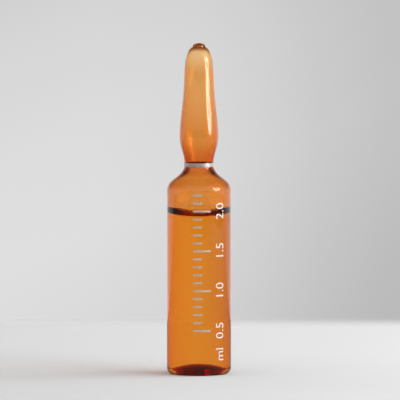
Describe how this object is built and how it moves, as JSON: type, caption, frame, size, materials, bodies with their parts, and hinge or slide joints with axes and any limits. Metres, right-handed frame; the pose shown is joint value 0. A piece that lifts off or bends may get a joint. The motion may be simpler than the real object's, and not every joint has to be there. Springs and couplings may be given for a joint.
{
  "type": "glass ampoule",
  "caption": "Sealed amber glass ampoule with a domed-up base, a drawn waist with a break ring, a bulbous tapering stem and a liquid fill.",
  "frame": {"origin": "centre of the base, on the plane that the ampoule stands on", "axes": "+Z along the ampoule's own axis, from the base to the sealed tip; X and Y are alike"},
  "size_m": [0.0108, 0.0108, 0.0558],
  "materials": {
    "amber_glass": "clear amber, fire-polished",
    "clear_liquid": "clear liquid",
    "silver_enamel": "fired silver enamel, satin"
  },
  "bodies": {
    "root": {"ampoule_glass": "amber_glass", "liquid": "clear_liquid", "break_ring": "silver_enamel"}
  },
  "joints": []
}
